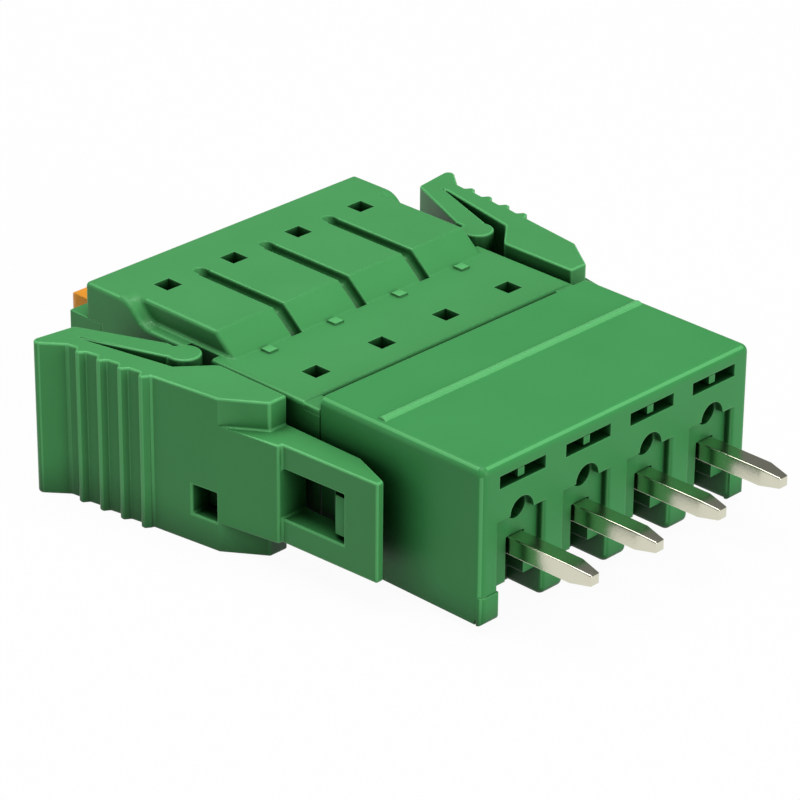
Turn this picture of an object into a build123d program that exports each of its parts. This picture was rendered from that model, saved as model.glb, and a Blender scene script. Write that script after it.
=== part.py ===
from build123d import *
import os

# A four-pole pluggable terminal block: a wire plug with push buttons, mated with its straight board header.

os.makedirs("parts", exist_ok=True)

# Everything is in millimetres. While a piece is modelled, x runs across the poles, y starts at the board
# face of the header and grows towards the wire side, and z starts at the underside of the latch levers.
# save() at the end moves the whole block so that its middle length lies on y = 0.

# Driving sizes
pitch = 3.81
pole_count = 4
side_margin = 2.285  # from the axis of an outer pole to the end wall's outside
header_depth = 8.9
header_height = 6.94
lever_height = 7.0
plug_rear = 24.0  # rear face of the wire-entry cap
pin_size = 0.8
pin_out = 3.9  # solder length of a pin past the board face
wall = 0.85

# Clearances
gap = 0.1  # between pieces that lie beside each other
fit = 0.05  # between a moving piece and its guide
seat = 0.01  # between a pin and the wall that holds it
reach = 1.0  # how far a cutter stands out past the face that it cuts

# Values worked out from them
pole_xs = [(i - (pole_count - 1) / 2) * pitch for i in range(pole_count)]
half_width = (pole_count - 1) * pitch / 2 + side_margin
lever_middle = lever_height / 2
mate_z = lever_middle - 0.25  # height of the plug's and the header's middle
pin_z = mate_z - 0.1  # height of the pins' axes
header_bottom = mate_z - 2.93
header_top = header_bottom + header_height

# Header details
header_round = 0.35
back_wall = 2.4
cavity_x = half_width - wall
cavity_low = header_bottom + wall
cavity_high = header_top - wall
slot_width = 2.63
slot_height = 0.56
slot_z = header_top - 0.86
slot_depth = 0.9
post_size = 0.36
post_recess = 0.35
recess_width = 2.54
recess_depth = 0.36
recess_top = mate_z + 1.43
pillar_round = 0.2
vent_radius = 0.67
vent_hole_radius = 0.55
vent_hole_z = recess_top + 0.12
vent_depth = back_wall + reach
drain_top = header_bottom + 1.25  # ceiling of the opening under each pin
drain_depth = 1.95
pin_slot_width = 1.04
pin_slot_depth = 1.4
rib_y = header_depth - 3.07
rib_radius = 0.3
rib_sink = 0.2
foot_height = 1.28
foot_proud = 0.05
foot_round = 0.25
nose_height = 1.74
nose_out = 1.53
nose_back = 2.9  # from the header's rim back to a catch nose's flat side
nose_front = header_depth - nose_back
nose_flat = 0.5
nose_length = 2.1
nose_root = 0.2  # how far an added detail reaches into the body that carries it

# Pin details
tip_size = 0.48
tip_taper = 1.0
pin_inside = header_depth - 1.0
shoulder_width = 1.15
shoulder_front = 1.65
shoulder_length = 0.5

# Plug body
plug_front = header_depth + 0.92  # front face of the full section, just behind the header's rim
plug_bottom = header_bottom - 0.1
front_top = mate_z + 3.47
hump_top = mate_z + 4.42
cap_top = mate_z + 2.77
cap_front = plug_rear - 2.0
upper_rear = plug_rear - 1.0
front_shelf = 4.73  # depth of the low front part of the plug's top
slope_run = 1.1
shelf_rise = 1.9
rear_band = 3.1  # depth of the flat band behind the humps
slope_foot = plug_front + front_shelf
slope_kink = slope_foot + slope_run
shelf_high_y = plug_rear - rear_band
shelf_low_y = shelf_high_y - shelf_rise
hump_inset = 0.62
top_round = 0.2
groove_half = 0.28
groove_depth = 0.5
groove_lip = 0.12
groove_lift = 0.004
groove_rear = plug_rear - 3.9
groove_fade = 0.35
pip_size = 0.5
pip_height = 0.1
pip_y = slope_foot - 0.35
test_hole = 0.86
front_hole_y = plug_front + 1.66
rear_hole_y = plug_rear - 3.67

# Plug nose inside the header
nose_clear = 0.2
nose_start = back_wall + 0.25
plug_nose_x = cavity_x - nose_clear
plug_nose_low = cavity_low + nose_clear
plug_nose_high = cavity_high - nose_clear
tab_front = header_depth + 0.06
tab_drop = 0.12

# Push buttons
button_half = 1.15
button_high = mate_z + 2.85
button_low = mate_z + 1.5
button_end = plug_rear + 1.5
button_inside = 7.0  # length of a button inside the plug
button_front = plug_rear - button_inside
button_round = 0.62
shoulder_half = 1.25
shoulder_rear = cap_front - 0.2
beak_length = 0.9
beak_root = 0.2
beak_low = mate_z + 0.3
beak_bevel = 0.4
driver_slot_width = 0.5
driver_slot_depth = 0.35

# Chambers for the metal parts, one set per pole
chamber_half = 1.3
front_chamber_front = plug_front - 0.22
front_chamber_low = mate_z - 2.2
front_chamber_high = mate_z + 2.3
rear_chamber_length = 8.6
rear_chamber_front = plug_rear - rear_chamber_length
rear_chamber_low = mate_z - 2.5
rear_chamber_high = button_high + 0.12
socket_half_x = 1.05
socket_half_z = 1.15

# Wire entries
entry_z = mate_z - 0.65
entry_radius = 1.05
funnel_radius = 1.5
funnel_depth = 1.3
guide_front = plug_rear - 4.4
guide_half = chamber_half - fit
guide_low = entry_z - entry_radius - 0.22
guide_high = button_low - fit

# Spring strips: a flat root under the chamber's ceiling, then a blade that slopes down across the wire's way
strip = 0.3
spring_half_x = 1.0
spring_top = mate_z + 1.95
spring_low = mate_z - 1.6
spring_inset = 0.6  # from the front chamber's front to a spring's front end
blade_reach = 2.9  # how far a blade stands in the rear chamber
spring_front = front_chamber_front + spring_inset
spring_bend = rear_chamber_front - 0.5
blade_end = rear_chamber_front + blade_reach
blade_lip = 0.6
blade_lip_drop = 0.15
spring_round = 0.5

# Contact strips: a fork round the pin, and a bar that runs back under the wire
arm_half_x = 0.7
arm_thickness = 0.28
arm_gap = 0.03
arm_z = pin_size / 2 + arm_gap + arm_thickness / 2
arm_spread = 0.18
arm_flare = 0.35
arm_front = nose_start + 0.3
arm_throat = nose_start + 1.3
arm_back = nose_start + 3.2
fork_rear = front_chamber_front - 0.5
fork_back = 0.4
bar = 0.4
bar_z = rear_chamber_low + bar / 2 + fit
bar_middle_z = mate_z - 1.85
bar_drop_start = front_chamber_front + 1.0
bar_drop_end = front_chamber_front + 2.4
bar_step_start = rear_chamber_front + 0.4
bar_step_end = rear_chamber_front + 1.2
strip_round = 0.4

# Levers. The points of the left one are given as a distance outwards from its inner side, and a distance
# back from its front end.
lever_gap = 0.46  # from the plug's side to a lever's inner side
lever_in = -(half_width + lever_gap)
lever_front = header_depth + 1.45
flange = 1.27  # thickness of the top and bottom flanges
front_points = [(0, 0), (0.96, 0), (2.18, 1.75), (2.66, 5.15)]
first_rib = (3.01, 5.44)
last_rib = (3.335, 8.91)
grip_rib_count = 4
grip_rib_height = 0.27
grip_rib_foot = 0.28  # half widths of a rib at its foot and at its crest
grip_rib_crest = 0.1
grip_rib_round = 0.1
grip_points = [(3.14, 9.7), (4.33, 11.15), (1.8, 10.8)]
grip_round = 0.28
finger_points = [(0.1, 6.9), (0.1, 5.9), (1.0, 6.0), (2.32, 9.7), (2.35, 9.6), (1.44, 5.17), (0.18, 4.1),
                 (0, 3.9)]
bulb_point = (0.25, 5.77)
bulb_radius = 0.74
tongue_points = [(0, 0.5), (0, -4.2), (0.74, -6.2), (1.12, -6.2), (1.4, -1.15), (1.6, -1.15), (2.18, 1.75),
                 (1.3, 1.75), (0.9, 0.5)]
window_half = 1.13
window_front = -4.43
window_rear = -1.15
hollow_points = [(-0.1, 0.9), (1.15, 0.9), (1.5, 4.9), (-0.1, 4.9)]
side_hole_back = 2.5
side_hole_z = 2.0
side_hole_width = 1.26
side_hole_height = 1.33
side_hole_depth = 2.0
pivot_point = (0.75, 3.4)
pivot_radius = 0.45
bore_radius = pivot_radius + fit
bore_depth = 0.75
lug_width = 1.0
lug_clear = 0.2
bulb_swing = 0.34  # how far a bulb moves towards the plug when its lever is squeezed


def lever_place(point):
    """The place in plan of a point of the left lever."""
    out, back = point
    return Vector(lever_in - out, lever_front + back)


def save(name, shape):
    """Moves a finished piece to the shared frame, names it and writes its file."""
    moved = shape.moved(Location((0, -(button_end - pin_out) / 2, 0)))
    moved.label = name
    export_step(moved, f"parts/{name}.step")


def box(x0, x1, y0, y1, z0, z1, mode=Mode.ADD):
    """A block between two corners, for use inside a part block."""
    with Locations(((x0 + x1) / 2, (y0 + y1) / 2, (z0 + z1) / 2)):
        Box(x1 - x0, y1 - y0, z1 - z0, mode=mode)


# Left foot of the header: the low part of the end wall, which stands a little proud of the board face
with BuildPart() as foot:
    box(-half_width + seat, -pole_xs[-1] - recess_width / 2 - fit, -foot_proud, foot_round,
        header_bottom + seat, header_bottom + foot_height)
    front_edges = foot.faces().sort_by(Axis.Y)[0].edges()
    fillet([front_edges.sort_by(Axis.X)[0], front_edges.sort_by(Axis.Z)[0]], radius=foot_round)

# Header housing
with BuildPart() as header:
    box(-half_width, half_width, 0, header_depth, header_bottom, header_top)
    outer = header.edges().filter_by(lambda e: e.center().Y < header_depth - 0.01)
    fillet(outer, radius=header_round)
    box(-cavity_x, cavity_x, back_wall, header_depth, cavity_low, cavity_high, Mode.SUBTRACT)
    # Each pole's recess in the board face, and the deeper opening under the pin
    for x in pole_xs:
        box(x - recess_width / 2, x + recess_width / 2, -reach, recess_depth,
            header_bottom - reach, recess_top, Mode.SUBTRACT)
        box(x - recess_width / 2, x + recess_width / 2, -reach, drain_depth,
            header_bottom - reach, drain_top, Mode.SUBTRACT)
    pillar_edges = header.edges().filter_by(Axis.Z).filter_by(
        lambda e: abs(e.center().Y) < seat and abs(e.center().X) < half_width - 2 * header_round)
    fillet(pillar_edges, radius=pillar_round)
    # Vents at the top of the recesses
    with BuildSketch(Plane.XZ):
        for x in pole_xs:
            with Locations((x, recess_top)):
                Circle(vent_radius)
        with Locations((0, recess_top - vent_radius)):
            Rectangle(2 * half_width, 2 * vent_radius, mode=Mode.SUBTRACT)
    extrude(amount=-recess_depth, mode=Mode.SUBTRACT)
    with BuildSketch(Plane.XZ):
        for x in pole_xs:
            with Locations((x, vent_hole_z)):
                Circle(vent_hole_radius)
    extrude(amount=-vent_depth, mode=Mode.SUBTRACT)
    # Slots along the top edge of the board face, each with a post in the middle
    with BuildSketch(Plane.XZ):
        for x in pole_xs:
            with Locations((x, slot_z)):
                Rectangle(slot_width, slot_height)
    extrude(amount=-slot_depth, mode=Mode.SUBTRACT)
    for x in pole_xs:
        box(x - post_size / 2, x + post_size / 2, post_recess, slot_depth + nose_root,
            slot_z - post_size / 2, slot_z + post_size / 2)
    # Slots that the pins stand in, open below, and the square holes that hold the pins' shoulders
    hole_half = pin_size / 2 + seat
    for x in pole_xs:
        box(x - pin_slot_width / 2, x + pin_slot_width / 2, 0, pin_slot_depth,
            drain_top - seat, pin_z + hole_half, Mode.SUBTRACT)
        box(x - hole_half, x + hole_half, 0, back_wall + reach, pin_z - hole_half, pin_z + hole_half,
            Mode.SUBTRACT)
        box(x - shoulder_width / 2 - seat, x + shoulder_width / 2 + seat, shoulder_front - seat,
            shoulder_front + shoulder_length + seat, pin_z - hole_half, pin_z + hole_half, Mode.SUBTRACT)
    # Rib across the top
    with BuildSketch(Plane.YZ):
        with Locations((rib_y, header_top - rib_sink)):
            Circle(rib_radius)
    extrude(amount=half_width - header_round, both=True)
    # Feet that keep the face off the board
    add(foot.part)
    add(foot.part.mirror(Plane.YZ))
    # Catch noses for the levers
    with BuildSketch(Plane.XY.offset(lever_middle - nose_height / 2)):
        with BuildLine():
            Polyline(
                (-half_width + nose_root, nose_front),
                (-half_width - nose_out, nose_front),
                (-half_width - nose_out, nose_front + nose_flat),
                (-half_width, nose_front + nose_length),
                (-half_width + nose_root, nose_front + nose_length),
                close=True,
            )
        make_face()
        mirror(about=Plane.YZ)
    extrude(amount=nose_height)
save("header_housing", header.part)

# Header pins: a plan outline and the same outline seen from the side, as far as both hold material
pin_outline = [
    (-pin_out, tip_size / 2),
    (-pin_out + tip_taper, pin_size / 2),
    (pin_inside - tip_taper, pin_size / 2),
    (pin_inside, tip_size / 2),
]
for number, x in enumerate(pole_xs, 1):
    with BuildPart() as pin:
        with BuildSketch(Plane.XY.offset(pin_z)):
            with BuildLine():
                Polyline(*[(x - half, y) for y, half in pin_outline],
                         *[(x + half, y) for y, half in reversed(pin_outline)], close=True)
            make_face()
        extrude(amount=pin_size, both=True)
        with BuildSketch(Plane.YZ.offset(x)):
            with BuildLine():
                Polyline(*[(y, pin_z - half) for y, half in pin_outline],
                         *[(y, pin_z + half) for y, half in reversed(pin_outline)], close=True)
            make_face()
        extrude(amount=pin_size, both=True, mode=Mode.INTERSECT)
        box(x - shoulder_width / 2, x + shoulder_width / 2, shoulder_front,
            shoulder_front + shoulder_length, pin_z - pin_size / 2, pin_z + pin_size / 2)
    save(f"header_pin_{number}", pin.part)

# Plug housing
with BuildPart() as plug:
    with BuildSketch(Plane.YZ):
        with BuildLine():
            Polyline(
                (plug_front, plug_bottom),
                (cap_front, plug_bottom),
                (cap_front, cap_top + seat),
                (upper_rear, cap_top + seat),
                (upper_rear, hump_top),
                (slope_kink, hump_top),
                (slope_foot, front_top),
                (plug_front, front_top),
                close=True,
            )
        make_face()
    extrude(amount=half_width, both=True)
    # End shelves beside the outer humps, rising in an S-curve to the rear band
    for side in (-1, 1):
        with BuildSketch(Plane.YZ.offset(side * (half_width - hump_inset))):
            with BuildLine():
                Polyline(
                    (shelf_high_y, hump_top),
                    (shelf_high_y, hump_top + reach),
                    (slope_foot - reach, hump_top + reach),
                    (slope_foot - reach, front_top),
                    (shelf_low_y, front_top),
                )
                Spline(
                    (shelf_low_y, front_top),
                    (shelf_high_y, hump_top),
                    tangents=((1, 0), (1, 0)),
                )
            make_face()
        extrude(amount=side * (hump_inset + reach), mode=Mode.SUBTRACT)
    fillet(plug.edges().filter_by(lambda e: e.center().Z > cap_top + top_round), radius=top_round)
    # Grooves between the humps, with rounded lips. Each fades out at its rear end.
    lip_x = groove_half + groove_lip
    for left, right in zip(pole_xs, pole_xs[1:]):
        middle = (left + right) / 2
        start = Plane(origin=(middle, groove_rear + groove_fade, hump_top + groove_depth),
                      x_dir=(1, 0, 0), z_dir=(0, -groove_fade, -groove_depth))
        with BuildLine() as path:
            Polyline(
                (middle, groove_rear + groove_fade, hump_top + groove_depth),
                (middle, groove_rear, hump_top),
                (middle, slope_kink, hump_top),
                (middle, slope_foot - fit, front_top),
            )
        with BuildSketch(start) as profile:
            with Locations((0, groove_lift - groove_lip / 2)):
                Rectangle(2 * lip_x, groove_lip)
            with Locations((-lip_x, groove_lift - groove_lip), (lip_x, groove_lift - groove_lip)):
                Circle(groove_lip, mode=Mode.SUBTRACT)
            with Locations((0, groove_lift + groove_lip)):
                Rectangle(2 * lip_x + groove_lip, 2 * groove_lip)
            with Locations((0, (groove_half - groove_depth + groove_lift) / 2)):
                Rectangle(2 * groove_half, groove_depth - groove_half + groove_lift)
            with Locations((0, groove_half - groove_depth)):
                Circle(groove_half)
        sweep(path=path.wires()[0], transition=Transition.RIGHT, mode=Mode.SUBTRACT)
    # Moulding pips at the foot of the humps
    for x in pole_xs:
        box(x - pip_size / 2, x + pip_size / 2, pip_y - pip_size / 2, pip_y + pip_size / 2,
            front_top - pip_height, front_top + pip_height)
    # The nose that goes into the header, and the end tabs that meet its rim
    box(-plug_nose_x, plug_nose_x, nose_start, plug_front + nose_root, plug_nose_low, plug_nose_high)
    for side in (-1, 1):
        x0 = side * half_width
        x1 = side * plug_nose_x
        box(min(x0, x1), max(x0, x1), tab_front, plug_front + nose_root,
            plug_bottom + tab_drop, front_top - tab_drop - top_round)
    # Chambers, one set per pole
    for x in pole_xs:
        box(x - socket_half_x, x + socket_half_x, nose_start - reach, front_chamber_front + gap,
            pin_z - socket_half_z, pin_z + socket_half_z, Mode.SUBTRACT)
        box(x - chamber_half, x + chamber_half, front_chamber_front, rear_chamber_front + gap,
            front_chamber_low, front_chamber_high, Mode.SUBTRACT)
        box(x - chamber_half, x + chamber_half, rear_chamber_front, upper_rear + reach,
            rear_chamber_low, rear_chamber_high, Mode.SUBTRACT)
    # Square test holes
    for y, top, floor in (
        (front_hole_y, front_top, front_chamber_high),
        (rear_hole_y, hump_top, rear_chamber_high),
    ):
        with BuildSketch(Plane.XY.offset(top)):
            for x in pole_xs:
                with Locations((x, y)):
                    Rectangle(test_hole, test_hole)
        extrude(amount=-(top - floor + gap), mode=Mode.SUBTRACT)
    # Shallow pockets in the side walls, which the levers' bulbs swing into
    bulb = lever_place(bulb_point)
    pocket_x = bulb.X + bulb_radius + bulb_swing + gap
    for side in (-1, 1):
        x0 = side * (half_width + reach)
        x1 = -side * pocket_x
        box(min(x0, x1), max(x0, x1), bulb.Y - bulb_radius - gap, bulb.Y + bulb_radius + gap,
            0, lever_height + gap, Mode.SUBTRACT)
    # Lugs with the levers' pivots
    pivot = lever_place(pivot_point)
    lug_out = -pivot.X + pivot_radius
    for side in (-1, 1):
        x0 = side * (half_width - nose_root)
        x1 = side * lug_out
        box(min(x0, x1), max(x0, x1), pivot.Y - lug_width / 2, pivot.Y + lug_width / 2,
            flange + lug_clear, lever_height - flange - lug_clear)
        with Locations((-side * pivot.X, pivot.Y, lever_middle)):
            Cylinder(pivot_radius, lever_height - 2 * (flange - bore_depth + fit))
save("plug_housing", plug.part)

# Wire-entry cap that closes the plug's rear
with BuildPart() as cap:
    box(-half_width, half_width, cap_front + seat, plug_rear, plug_bottom, cap_top)
    for x in pole_xs:
        box(x - guide_half, x + guide_half, guide_front, cap_front + nose_root, guide_low, guide_high)
        box(x - button_half - fit, x + button_half + fit, cap_front - reach, plug_rear + reach,
            button_low - fit, cap_top + reach, Mode.SUBTRACT)
        with Locations((x, (guide_front + plug_rear) / 2, entry_z)):
            Cylinder(entry_radius, plug_rear - guide_front + reach, rotation=(90, 0, 0), mode=Mode.SUBTRACT)
        with Locations((x, plug_rear - funnel_depth / 2, entry_z)):
            Cone(entry_radius, funnel_radius, funnel_depth, rotation=(-90, 0, 0), mode=Mode.SUBTRACT)
save("entry_cap", cap.part)

# Push buttons
for number, x in enumerate(pole_xs, 1):
    with BuildPart() as button:
        box(x - button_half, x + button_half, button_front, button_end, button_low, button_high)
        rear_edges = button.faces().sort_by(Axis.Y)[-1].edges()
        fillet(rear_edges, radius=button_round)
        box(x - shoulder_half, x + shoulder_half, button_front, shoulder_rear, button_low, button_high)
        # The beak that pushes the spring down
        with BuildSketch(Plane.YZ.offset(x)):
            with BuildLine():
                Polyline(
                    (button_front, button_low + beak_root),
                    (button_front + beak_length, button_low + beak_root),
                    (button_front + beak_length, beak_low + beak_bevel),
                    (button_front + beak_length - beak_bevel, beak_low),
                    (button_front, beak_low + beak_bevel),
                    close=True,
                )
            make_face()
        extrude(amount=spring_half_x, both=True)
        # Slot for a screwdriver blade
        middle_z = (button_low + button_high) / 2
        box(x - driver_slot_width, x + driver_slot_width, button_end - driver_slot_depth, button_end + reach,
            middle_z - driver_slot_width / 2, middle_z + driver_slot_width / 2, Mode.SUBTRACT)
    save(f"push_button_{number}", button.part)

# Clamp springs
for number, x in enumerate(pole_xs, 1):
    with BuildPart() as spring:
        with BuildSketch(Plane.YZ.offset(x)):
            with BuildLine():
                FilletPolyline(
                    (spring_front, spring_top),
                    (spring_bend, spring_top),
                    (blade_end, spring_low),
                    (blade_end + blade_lip, spring_low - blade_lip_drop),
                    radius=spring_round,
                )
            trace(line_width=strip)
        extrude(amount=spring_half_x, both=True)
    save(f"clamp_spring_{number}", spring.part)

# Contacts: a fork that grips the pin and a bar that runs back under the wire
for number, x in enumerate(pole_xs, 1):
    with BuildPart() as contact:
        for side in (-1, 1):
            with BuildSketch(Plane.YZ.offset(x)):
                with BuildLine():
                    FilletPolyline(
                        (arm_front, pin_z + side * (arm_z + arm_flare)),
                        (arm_throat, pin_z + side * arm_z),
                        (arm_back, pin_z + side * (arm_z + arm_spread)),
                        (fork_rear, pin_z + side * (arm_z + arm_spread)),
                        radius=strip_round,
                    )
                trace(line_width=arm_thickness)
            extrude(amount=arm_half_x, both=True)
        # Back of the fork, joining both arms
        fork_half = arm_z + arm_spread + arm_thickness / 2
        box(x - arm_half_x, x + arm_half_x, fork_rear - fork_back, fork_rear,
            pin_z - fork_half, pin_z + fork_half)
        # Bar down to the floor of the chamber
        with BuildSketch(Plane.YZ.offset(x)):
            with BuildLine():
                FilletPolyline(
                    (fork_rear - fork_back / 2, pin_z - arm_z),
                    (bar_drop_start, pin_z - arm_z),
                    (bar_drop_end, bar_middle_z),
                    (bar_step_start, bar_middle_z),
                    (bar_step_end, bar_z),
                    (cap_front - bar, bar_z),
                    radius=strip_round,
                )
            trace(line_width=bar)
        extrude(amount=arm_half_x, both=True)
    save(f"socket_contact_{number}", contact.part)

# Latch levers: the left one is drawn and the right one is its mirror image
ribs = []
for i in range(grip_rib_count):
    share = i / (grip_rib_count - 1)
    out = first_rib[0] + share * (last_rib[0] - first_rib[0])
    back = first_rib[1] + share * (last_rib[1] - first_rib[1])
    ribs.append((out - grip_rib_height, back - grip_rib_foot))
    ribs.append((out, back - grip_rib_crest))
    ribs.append((out, back + grip_rib_crest))
    ribs.append((out - grip_rib_height, back + grip_rib_foot))
rib_corners = [lever_place(point) for point in ribs]
with BuildPart() as lever:
    with BuildSketch(Plane.XY) as plan:
        with BuildLine():
            around = front_points + ribs + grip_points + finger_points
            Polyline(*[lever_place(point) for point in around], close=True)
        make_face()
        fillet([v for v in plan.vertices() if min(v.distance_to(Vertex(*c)) for c in rib_corners) < seat],
               radius=grip_rib_round)
        fillet(plan.vertices().sort_by(Axis.Y)[-2:], radius=grip_round)
        with Locations(bulb):
            Circle(bulb_radius)
    extrude(amount=lever_height)
    # Plateau and latching tongue between the flanges
    with BuildSketch(Plane.XY.offset(flange)):
        with BuildLine():
            Polyline(*[lever_place(point) for point in tongue_points], close=True)
        make_face()
    extrude(amount=lever_height - 2 * flange)
    box(2 * lever_in, -half_width, lever_front + window_front, lever_front + window_rear,
        lever_middle - window_half, lever_middle + window_half, Mode.SUBTRACT)
    # Hollow round the plug's lug, and the bores for its pivot
    with BuildSketch(Plane.XY.offset(flange)):
        with BuildLine():
            Polyline(*[lever_place(point) for point in hollow_points], close=True)
        make_face()
    extrude(amount=lever_height - 2 * flange, mode=Mode.SUBTRACT)
    with Locations((pivot.X, pivot.Y, lever_middle)):
        Cylinder(bore_radius, lever_height - 2 * (flange - bore_depth), mode=Mode.SUBTRACT)
    # Square hole in the outer face
    hole_y = lever_front + side_hole_back
    box(pivot.X - side_hole_depth, pivot.X, hole_y - side_hole_width / 2, hole_y + side_hole_width / 2,
        side_hole_z - side_hole_height / 2, side_hole_z + side_hole_height / 2, Mode.SUBTRACT)
save("latch_lever_left", lever.part)
save("latch_lever_right", lever.part.mirror(Plane.YZ))
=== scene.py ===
# %% [markdown]
# This scene dresses a small pluggable terminal block: a green wire plug with push buttons, mated with the
# straight header that is soldered to a circuit board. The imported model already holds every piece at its
# true size and place, so this file adds what a camera would see on the real moulding: softened edges,
# plastic with a faint grain, tinned pins, and quiet studio light.

import math
import bpy
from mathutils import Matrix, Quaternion, Vector


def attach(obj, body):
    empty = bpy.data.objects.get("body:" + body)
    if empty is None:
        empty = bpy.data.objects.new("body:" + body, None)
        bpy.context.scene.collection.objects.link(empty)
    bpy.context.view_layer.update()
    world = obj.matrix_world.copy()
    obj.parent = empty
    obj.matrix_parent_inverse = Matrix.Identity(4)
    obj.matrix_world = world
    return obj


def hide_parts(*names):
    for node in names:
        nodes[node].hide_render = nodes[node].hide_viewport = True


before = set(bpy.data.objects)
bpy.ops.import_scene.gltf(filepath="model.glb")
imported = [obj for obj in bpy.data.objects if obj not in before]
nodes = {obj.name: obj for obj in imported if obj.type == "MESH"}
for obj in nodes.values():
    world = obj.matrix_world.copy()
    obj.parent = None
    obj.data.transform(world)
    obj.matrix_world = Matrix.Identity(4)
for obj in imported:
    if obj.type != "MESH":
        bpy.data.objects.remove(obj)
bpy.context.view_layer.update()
mm = 0.001
print("CAD nodes:", len(nodes))

# %% [markdown]
# A product photo like this one is taken from far away with a long lens, which keeps parallel edges almost
# parallel. The camera could be placed by eye, but here its direction, distance and lens were worked out
# from the corners of the block in the photo, so that shapes can be compared edge by edge.

# %% Camera
scene = bpy.context.scene
image_side = 800
focal_pixels = 3976.5
camera_azimuth = math.radians(-45.833)
camera_elevation = math.radians(26.797)
camera_roll = math.radians(0.516)
camera_place = Vector((-107.189, -102.658, 78.578)) * mm

towards_camera = Vector((
    math.sin(camera_azimuth) * math.cos(camera_elevation),
    -math.cos(camera_azimuth) * math.cos(camera_elevation),
    math.sin(camera_elevation),
))
camera = bpy.data.objects.new("camera", bpy.data.cameras.new("camera"))
scene.collection.objects.link(camera)
camera.data.sensor_width = 36
camera.data.lens = camera.data.sensor_width * focal_pixels / image_side
camera.data.clip_start = 0.01
camera.data.clip_end = 10
camera.location = camera_place
camera.rotation_mode = "QUATERNION"
upright_view = (-towards_camera).to_track_quat("-Z", "Y")
camera.rotation_quaternion = upright_view @ Quaternion((0, 0, 1), camera_roll)
scene.camera = camera
print("lens in mm:", round(camera.data.lens, 1))

# %% [markdown]
# The photo was lit by broad soft sources, so its shadows have no hard edge. Sun lamps could give the same
# directions, but square area lamps also give the softness. A large one overhead lights the tops, a wide one
# low on the board side lights the face with the pins, and a faint one on the left, towards the wire side,
# adds a little light to the lever that faces it.

# %% Lamps
def soft_lamp(name, place, size, watts):
    """A square area lamp that looks at the middle of the scene."""
    lamp = bpy.data.objects.new(name, bpy.data.lights.new(name, "AREA"))
    scene.collection.objects.link(lamp)
    lamp.data.size = size
    lamp.data.energy = watts
    lamp.location = place
    lamp.rotation_mode = "QUATERNION"
    lamp.rotation_quaternion = (-Vector(place)).to_track_quat("-Z", "Y")
    print("lamp:", name, watts)


soft_lamp("overhead", place=(-0.02, 0.06, 0.45), size=0.35, watts=1.8)
soft_lamp("rear_left", place=(-0.36, 0.34, 0.14), size=0.25, watts=0.2)
soft_lamp("board_side", place=(0.02, -0.49, 0.16), size=0.3, watts=1.35)

# %% [markdown]
# The photo's background is pure white. A world as bright as that would also light the block, and wash its
# green out. So the world is white only to rays that come straight from the camera or through something
# clear, and dim to all others. That dim light fills the shadows.

# %% World
def add_node(tree, kind, inputs=None, **settings):
    """A new shader node. Each input is a value or another node's output, and settings are its options."""
    node = tree.nodes.new("ShaderNode" + kind)
    for name, setting in settings.items():
        setattr(node, name, setting)
    for name, value in (inputs or {}).items():
        if isinstance(value, bpy.types.NodeSocket):
            tree.links.new(value, node.inputs[name])
        else:
            node.inputs[name].default_value = value
    return node


fill_strength = 0.2
world = bpy.data.worlds.new("studio")
world.use_nodes = True
scene.world = world
tree = world.node_tree
rays = add_node(tree, "LightPath").outputs
seen = add_node(tree, "Math", {0: rays["Is Camera Ray"], 1: rays["Is Transmission Ray"]},
                operation="MAXIMUM")
brightness = add_node(tree, "MapRange", {"Value": seen.outputs[0], "To Min": fill_strength, "To Max": 1})
background = tree.nodes["Background"]
background.inputs["Color"].default_value = (1, 1, 1, 1)
tree.links.new(brightness.outputs["Result"], background.inputs["Strength"])
scene.view_settings.view_transform = "Standard"
print("world strength:", fill_strength, "and 1 to the camera")

# %% [markdown]
# The floor is a wide pale sheet. It could be left out, but the block would then float, so the sheet stays
# and takes only a trace of shadow: to the camera it is mostly its own white, mixed with a little of the
# light that really falls on it.

# %% Floor
paper_colour = (0.36, 0.36, 0.36, 1)
own_white = 1.06
own_share = 0.9

bpy.ops.object.select_all(action="DESELECT")
bpy.ops.mesh.primitive_plane_add(size=6, location=(0, 0, 0))
floor = bpy.context.object
floor.name = "floor"
paper = bpy.data.materials.new("white_paper")
paper.use_nodes = True
tree = paper.node_tree
lit = tree.nodes["Principled BSDF"]
lit.inputs["Base Color"].default_value = paper_colour
lit.inputs["Roughness"].default_value = 0.9
lit.inputs["Specular IOR Level"].default_value = 0.1
white = add_node(tree, "Emission", {"Strength": own_white})
rays = add_node(tree, "LightPath").outputs
looked_at = add_node(tree, "Math", {0: rays["Is Camera Ray"], 1: rays["Is Glossy Ray"]}, operation="MAXIMUM")
share = add_node(tree, "MapRange", {"Value": looked_at.outputs[0], "To Min": 0, "To Max": own_share})
mixed = add_node(tree, "MixShader", {"Fac": share.outputs["Result"], 1: lit.outputs["BSDF"],
                                     2: white.outputs["Emission"]})
tree.links.new(mixed.outputs["Shader"], tree.nodes["Material Output"].inputs["Surface"])
floor.data.materials.append(paper)
print("floor:", paper.name)
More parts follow.
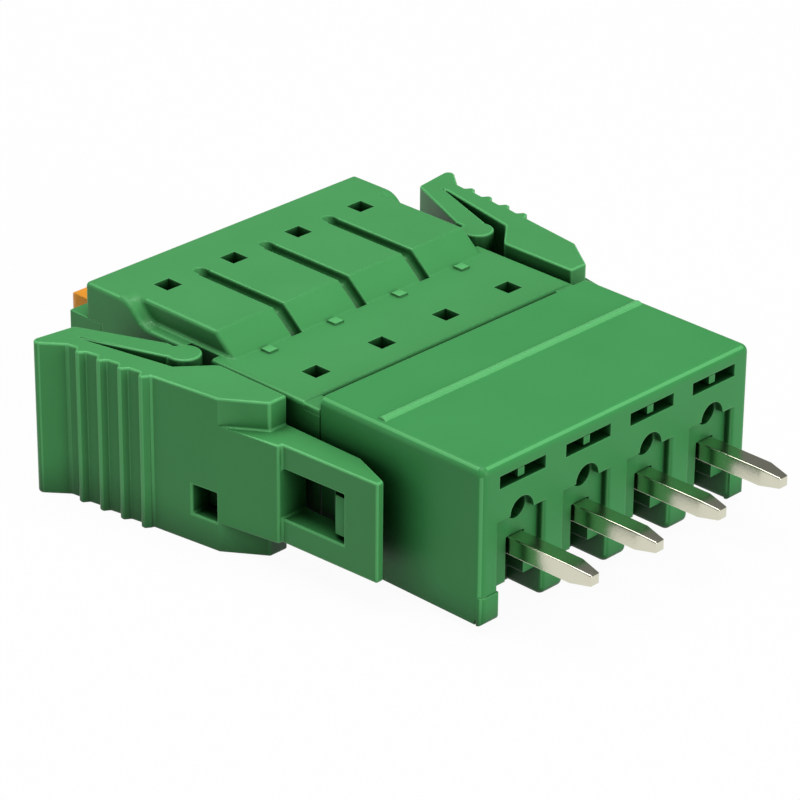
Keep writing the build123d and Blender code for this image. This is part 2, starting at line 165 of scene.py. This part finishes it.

# %% [markdown]
# The housings are moulded in a green filled plastic with a dull gloss. Under the light it isn't one flat
# colour: the melt leaves soft clouds and the mould leaves a very fine grain. On top of these, edges that
# stand out get a pale painted highlight, and corners, holes and gaps get painted shade. Every plastic and
# metal here needs some of these, so they are one node group, which gives them as masks and as a surface
# normal. Each material sets the sizes, and mixes its own colours by the masks.

# %% Shared surface: sockets
moulded = bpy.data.node_groups.new("moulded_surface", "ShaderNodeTree")
for name in ("Cloud Size", "Grain Size", "Grain Depth", "Edge Width"):
    moulded.interface.new_socket(name, in_out="INPUT", socket_type="NodeSocketFloat")
for name in ("Clouds", "Edge", "Open"):
    moulded.interface.new_socket(name, in_out="OUTPUT", socket_type="NodeSocketFloat")
moulded.interface.new_socket("Normal", in_out="OUTPUT", socket_type="NodeSocketVector")
given = moulded.nodes.new("NodeGroupInput").outputs
result = moulded.nodes.new("NodeGroupOutput").inputs
print("inputs of the group:", [socket.name for socket in given if socket.name])

# %% [markdown]
# Clouds and grain are the same kind of noise at two sizes. Both read Object coordinates, so that they stay
# on the piece when it moves.

# %% Shared surface: clouds and grain
place = add_node(moulded, "TexCoord").outputs["Object"]
clouds = add_node(moulded, "TexNoise", {"Vector": place, "Scale": given["Cloud Size"], "Detail": 3})
grain = add_node(moulded, "TexNoise", {"Vector": place, "Scale": given["Grain Size"], "Detail": 2})
print("noise textures:", clouds.name, "and", grain.name)

# %% [markdown]
# Edges could be painted by hand, but a rounded normal finds each of them by itself: on a flat face it is
# the face's own normal, and near an edge it leans away from it. Inner corners lean too, but they lie in
# places that aren't open, and only edges that stand out get the pale painted highlight. The same measure of
# how open a place is sets the painted shade in corners and holes.

# %% Shared surface: edges and open places
flat_enough, fully_turned = 0.985, 0.84
nook_size = 2.2 * mm
hidden_below, open_above = 0.6, 0.85

rounded = add_node(moulded, "Bevel", {"Radius": given["Edge Width"]}, samples=8).outputs["Normal"]
own_normal = add_node(moulded, "NewGeometry").outputs["True Normal"]
turn = add_node(moulded, "VectorMath", {0: rounded, 1: own_normal}, operation="DOT_PRODUCT")
near_edge = add_node(moulded, "MapRange", {"Value": turn.outputs["Value"], "From Min": flat_enough,
                                           "From Max": fully_turned})
nook = add_node(moulded, "AmbientOcclusion", {"Distance": nook_size}, samples=8)
outer = add_node(moulded, "MapRange", {"Value": nook.outputs["AO"], "From Min": hidden_below,
                                       "From Max": open_above})
edge = add_node(moulded, "Math", {0: near_edge.outputs["Result"], 1: outer.outputs["Result"]},
                operation="MULTIPLY")
print("places are open or closed within mm:", nook_size / mm)

# %% [markdown]
# Real grain is a relief of a few thousandths of a millimetre. It could be cut into the mesh, at the cost of
# millions of faces, but a bump that only tilts the normal looks the same from here. The bump starts from
# the rounded normal, so that one output carries both.

# %% Shared surface: outputs
grain_height = 0.02 * mm
bump = add_node(moulded, "Bump", {"Distance": grain_height, "Strength": given["Grain Depth"],
                                  "Height": grain.outputs["Fac"], "Normal": rounded})
moulded.links.new(clouds.outputs["Fac"], result["Clouds"])
moulded.links.new(edge.outputs["Value"], result["Edge"])
moulded.links.new(nook.outputs["AO"], result["Open"])
moulded.links.new(bump.outputs["Normal"], result["Normal"])
print("links in the group:", len(moulded.links))

# %% [markdown]
# Plastics and metals differ in colour and gloss, but each starts the same way: a new material, the shared
# surface in it at this finish's own sizes, and its normal on the shader. That start is one function.

# %% A material with the shared surface
def surfaced(name, roughness, cloud_size, grain_size, grain_depth, edge_width):
    """A new material with the shared surface. Gives it with its shader and the group's masks."""
    material = bpy.data.materials.new(name)
    material.use_nodes = True
    tree = material.node_tree
    sizes = {"Cloud Size": cloud_size, "Grain Size": grain_size, "Grain Depth": grain_depth,
             "Edge Width": edge_width}
    surface = add_node(tree, "Group", sizes, node_tree=moulded)
    shader = tree.nodes["Principled BSDF"]
    shader.inputs["Roughness"].default_value = roughness
    tree.links.new(surface.outputs["Normal"], shader.inputs["Normal"])
    print("material:", name)
    return material, shader, surface.outputs


# %% [markdown]
# Header and plug come from two batches of plastic, and the header's green is a little deeper. A third green
# is a pale painted highlight, which goes on bevels and narrow strips of faces. The buttons are a bright
# orange.
# All could be plain colours, but the drift between two tones keeps the large flat faces from looking painted.

# %% Plastics
# Default colours for every plastic: a pale green for the painted highlight on edges, and a dark tint for the
# painted shade in holes, corners and gaps.
pale_highlight_colour = (0.12, 0.50, 0.165)
painted_shade_colour = (0.03, 0.10, 0.045)


def plastic(name, dark, light, roughness, highlight_tint=pale_highlight_colour, shade_tint=painted_shade_colour):
    """A plastic whose colour drifts between two close tones, with a painted highlight on its edges and
    painted shade in holes, corners and gaps.
    """
    material, shader, masks = surfaced(name, roughness, cloud_size=260, grain_size=9000,
                                       grain_depth=0.12, edge_width=0.11 * mm)
    tree = material.node_tree
    tone = add_node(tree, "Mix", data_type="RGBA",
                    inputs={"Factor": masks["Clouds"], "A": (*dark, 1), "B": (*light, 1)})
    # Painted highlight: edges that stand out are mixed towards the pale colour.
    highlighted = add_node(tree, "Mix", data_type="RGBA",
                     inputs={"Factor": masks["Edge"], "A": tone.outputs["Result"], "B": (*highlight_tint, 1)})
    # Painted shade: closed-in places, such as holes, corners, gaps and faces close under other parts, are
    # multiplied towards the dark tint.
    shade_amount = add_node(tree, "MapRange", {"Value": masks["Open"], "From Min": 0.22, "From Max": 0.9})
    shade = add_node(tree, "Mix", data_type="RGBA",
                     inputs={"Factor": shade_amount.outputs["Result"], "A": (*shade_tint, 1), "B": (1, 1, 1, 1)})
    shaded = add_node(tree, "Mix", data_type="RGBA", blend_type="MULTIPLY",
                      inputs={"Factor": 1, "A": highlighted.outputs["Result"], "B": shade.outputs["Result"]})
    tree.links.new(shaded.outputs["Result"], shader.inputs["Base Color"])
    shader.inputs["Specular IOR Level"].default_value = 0.22
    return material


header_green = plastic("header_green", (0.045, 0.285, 0.075), (0.055, 0.325, 0.092), roughness=0.42)
plug_green = plastic("plug_green", (0.058, 0.30, 0.085), (0.07, 0.345, 0.105), roughness=0.42)
# The pale green of the painted highlight, for bevel faces, long roundings and proud details.
highlight_plastic = plastic("painted_highlight_edge", (0.10, 0.43, 0.14), pale_highlight_colour, roughness=0.38)
# The orange gets its own pale colour for the painted highlight and its own tint for the painted shade.
orange = plastic("orange_plastic", (0.88, 0.33, 0.02), (0.95, 0.40, 0.03), roughness=0.4,
                 highlight_tint=(0.98, 0.5, 0.1), shade_tint=(0.75, 0.65, 0.5))

# %% [markdown]
# The pins are tinned, and tin has a slightly warm grey. The springs and contacts inside are plain spring
# metal. Both take the shared surface for its normal alone: a narrow rounding that catches the light along
# each edge, and marks so fine that they only break up the reflection.

# %% Metals
def metal(name, colour, roughness):
    """A plated metal with fine rolling marks."""
    material, shader, _ = surfaced(name, roughness, cloud_size=600, grain_size=6000,
                                   grain_depth=0.08, edge_width=0.04 * mm)
    shader.inputs["Base Color"].default_value = (*colour, 1)
    shader.inputs["Metallic"].default_value = 1
    return material


tin = metal("tin_plate", (0.66, 0.65, 0.52), roughness=0.2)
spring_steel = metal("spring_steel", (0.62, 0.60, 0.56), roughness=0.3)

# %% [markdown]
# Real mouldings have no knife edges, and the thin line of light along each edge is what makes them look
# moulded. A imported piece is loose triangles, which a bevel can't work on, and its mesh is never changed. So
# a copy is merged, its flat faces are joined again, and a narrow bevel rounds every sharp edge. Where a piece
# has an edge material, the bevel's faces take it, which adds a painted highlight to that line of light.

# %% Merged copies and rounded edges
def merged_copy(node):
    """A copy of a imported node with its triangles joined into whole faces. It is left selected."""
    piece = bpy.data.objects.new(node + "_moulding", nodes[node].data.copy())
    scene.collection.objects.link(piece)
    bpy.ops.object.select_all(action="DESELECT")
    piece.select_set(True)
    bpy.context.view_layer.objects.active = piece
    bpy.ops.object.mode_set(mode="EDIT")
    bpy.ops.mesh.select_all(action="SELECT")
    bpy.ops.mesh.remove_doubles(threshold=0.001 * mm)
    bpy.ops.mesh.dissolve_limited(angle_limit=math.radians(0.5))
    bpy.ops.object.mode_set(mode="OBJECT")
    return piece


def round_edges(piece, width, edge_slot, clamp=True):
    """Bevels the sharp edges of the selected piece, and smooths all but what is still sharp."""
    bevel = piece.modifiers.new("soft_edges", "BEVEL")
    bevel.width = width
    bevel.segments = 3
    bevel.limit_method = "ANGLE"
    bevel.angle_limit = math.radians(28)
    bevel.use_clamp_overlap = clamp
    # Where a piece has an edge material, the bevel faces take it: the painted highlight.
    bevel.material = edge_slot
    bpy.ops.object.modifier_apply(modifier=bevel.name)
    bpy.ops.object.shade_smooth_by_angle(angle=math.radians(40))


# %% [markdown]
# Each slot in the header's board side has a post in it, which in the photo reaches almost to the face. The
# packed posts are a little short. A new block could be laid over each, but two faces in one place flicker,
# so the front corners of the posts are moved on the merged copy.

# %% Posts in the header's slots
pole_count = 4
pole_pitch = 3.81 * mm
pole_xs = [(number - (pole_count - 1) / 2) * pole_pitch for number in range(pole_count)]
post_front = -10.45 * mm
post_front_reach = 0.002 * mm
post_middle = 6.4 * mm
post_half = 0.2 * mm
post_advance = 0.25 * mm


def advance_posts(mesh):
    """Moves the front faces of the posts in the slots forward, almost to the board face."""
    moved = 0
    for corner in mesh.vertices:
        beside = min(abs(corner.co.x - pole_x) for pole_x in pole_xs)
        aside = max(beside, abs(corner.co.z - post_middle))
        if abs(corner.co.y - post_front) < post_front_reach and aside < post_half:
            corner.co.y -= post_advance
            moved += 1
    print("post corners moved:", moved)


# %% [markdown]
# The lower edges along the header's sides are square in the photo, where they run into the feet. The packed
# ones are rounded. Seen from the board side, each corner on the rounding is pushed away from the centre of
# the circle until it lies on the square round it, which keeps the number of faces as it is.

# %% Lower side edges of the header
round_size = 0.35 * mm
round_x = 8.0 * mm - round_size
round_z = 0.32 * mm + round_size
round_front = -10.46 * mm
past_its_ends = 0.001 * mm


def square_lower_edges(mesh):
    """Pushes the roundings of the lower side edges out to a square corner, which meets the feet."""
    moved = 0
    for corner in mesh.vertices:
        out = abs(corner.co.x) - round_x
        down = round_z - corner.co.z
        if min(out, down) > past_its_ends and corner.co.y > round_front:
            grow = round_size / max(out, down)
            corner.co.x = math.copysign(round_x + out * grow, corner.co.x)
            corner.co.z = round_z - down * grow
            moved += 1
    print("lower edge corners moved:", moved)


# %% [markdown]
# Long roundings show a pale band of light, which is painted here as a highlight. The shared surface finds
# narrow edges only, and a rounding is wide. Painting is one way, but the middle strip of faces on each
# rounding is easy to tell: it is long and narrow, and faces half upwards or half sideways. Those strips get
# the painted highlight green.

# %% Painted highlights on roundings
slant_from, slant_to = 0.69, 0.93
level = 0.1
shortest_strip = 1.1 * mm
widest_strip = 0.25 * mm


def on_long_rounding(face, mesh, node):
    """Whether a face is the middle strip of a long rounding, along the top or down a corner."""
    x, y, z = (abs(share) for share in face.normal)
    runs_along = y < level or (x < level and node == "header_housing")
    along_top = slant_from < z < slant_to and runs_along and face.normal.z > 0
    upright = slant_from < x < slant_to and z < level
    longest = max((mesh.vertices[a].co - mesh.vertices[b].co).length for a, b in face.edge_keys)
    long_and_narrow = longest > shortest_strip and face.area < widest_strip * longest
    return (along_top or upright) and long_and_narrow


# %% [markdown]
# Small details that stand proud get the painted highlight as well: the header's rib, the pips on the plug
# and the crests of the levers' grips. They are picked by their place. The crests lie on a line that leans a
# little outwards, so the distance from that line is what counts.

# %% Painted highlights on proud details
above_header_top = 7.265 * mm
pip_top = 6.82 * mm
pip_reach = 0.01 * mm
first_crest_x, first_crest_y = 11.47 * mm, 4.99 * mm
crests_from, crests_to = -0.3 * mm, 3.8 * mm
crest_lean = 0.094
crest_reach = 0.035 * mm
facing_out = 0.8


def on_proud_detail(face, node):
    """Whether a face is on the header's rib, on top of a pip, or on the crest of a grip rib."""
    if node == "header_housing":
        return face.center.z > above_header_top
    if node == "plug_housing":
        return abs(face.center.z - pip_top) < pip_reach
    if node.startswith("latch_lever"):
        back = face.center.y - first_crest_y
        out = abs(face.center.x) - first_crest_x - back * crest_lean
        return abs(face.normal.x) > facing_out and crests_from < back < crests_to and abs(out) < crest_reach
    return False


# %% [markdown]
# One function now does all of this to a imported node: copy, correct, bevel and paint the highlight.
# Weighted normals come after the bevel, and keep the large faces flat in the light where a bevel meets them.

# %% Softened pieces
def soften(node, body, width, material, edge_material=None, clamp=True):
    """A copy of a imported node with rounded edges, which stands for that node."""
    piece = merged_copy(node)
    if node == "header_housing":
        advance_posts(piece.data)
        square_lower_edges(piece.data)
    piece.data.materials.clear()
    for slot in (material, edge_material or material):
        piece.data.materials.append(slot)
    round_edges(piece, width, edge_slot=1 if edge_material else 0, clamp=clamp)
    flat = piece.modifiers.new("flat_faces", "WEIGHTED_NORMAL")
    flat.keep_sharp = True
    bpy.ops.object.modifier_apply(modifier=flat.name)
    # Faces on long roundings and proud details get the painted highlight too.
    if edge_material:
        for face in piece.data.polygons:
            if on_long_rounding(face, piece.data, node) or on_proud_detail(face, node):
                face.material_index = 1
    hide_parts(node)
    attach(piece, body)
    print(piece.name, len(piece.data.polygons))


# %% [markdown]
# The header, the plug and its rear cap are the three large mouldings. The plug's pieces share one green, so
# that the seam between them shows as a line and not as a change of colour.

# %% Housings
housing_greens = {"header_housing": header_green, "plug_housing": plug_green, "entry_cap": plug_green}
# Their bevels, long roundings and proud details get the painted highlight green.
for node, green in housing_greens.items():
    soften(node, "block", width=0.08 * mm, material=green, edge_material=highlight_plastic)

# %% [markdown]
# The levers have ribs, a window and thin tongues, where many edges lie close together. A bevel that is held
# clear of its neighbours shrinks to almost nothing there, and does so on the whole piece. So this one keeps
# its full width, which is narrow against the lever's walls.

# %% Latch levers
# The levers' bevels, long roundings and grip crests get the painted highlight green.
for side in ("left", "right"):
    soften(f"latch_lever_{side}", f"lever_{side}", width=0.09 * mm, material=plug_green,
           edge_material=highlight_plastic, clamp=False)

# %% [markdown]
# Each pole has an orange button and a tinned pin. They are small, and their edges are rounded less. Held
# clear of its neighbours, a button's bevel would leave faces of no size in the driver slot, so it isn't.
# Every button rides on its own body, because each can be pressed by itself. The pins ride on the block.

# %% Buttons and pins
for number in range(1, pole_count + 1):
    soften(f"push_button_{number}", f"button_{number}", width=0.04 * mm, material=orange, clamp=False)
    soften(f"header_pin_{number}", "block", width=0.05 * mm, material=tin)

# %% [markdown]
# The clamp springs and contacts are deep inside, and at most a glint of them shows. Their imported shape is
# enough for that, so they stay as they are and only get their metal.

# %% Inner metal parts
for name, node in nodes.items():
    if name.startswith(("clamp_spring", "socket_contact")):
        node.data.materials.clear()
        node.data.materials.append(spring_steel)
        print(name, "in", spring_steel.name)

# %% [markdown]
# The plug's end tabs run up almost to its top face where they meet the header's rim. Their upper ends are
# made here as two small blocks, softened like the rest and carried by the housing.

# %% Upper ends of the end tabs
tab_inner, tab_outer = 6.95 * mm, 7.985 * mm
tab_front, tab_back = -1.83 * mm, -0.8 * mm
tab_foot, tab_top = 6.2 * mm, 6.67 * mm
for side, name in ((-1, "left"), (1, "right")):
    middle = (side * (tab_inner + tab_outer) / 2, (tab_front + tab_back) / 2, (tab_foot + tab_top) / 2)
    bpy.ops.object.select_all(action="DESELECT")
    bpy.ops.mesh.primitive_cube_add(size=1, location=middle)
    tab = bpy.context.object
    tab.name = f"end_tab_{name}"
    tab.scale = (tab_outer - tab_inner, tab_back - tab_front, tab_top - tab_foot)
    bpy.ops.object.transform_apply(location=True, rotation=False, scale=True)
    tab.data.materials.append(plug_green)
    tab.data.materials.append(highlight_plastic)
    round_edges(tab, width=0.07 * mm, edge_slot=1)
    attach(tab, "block")
    print(tab.name, len(tab.data.polygons))
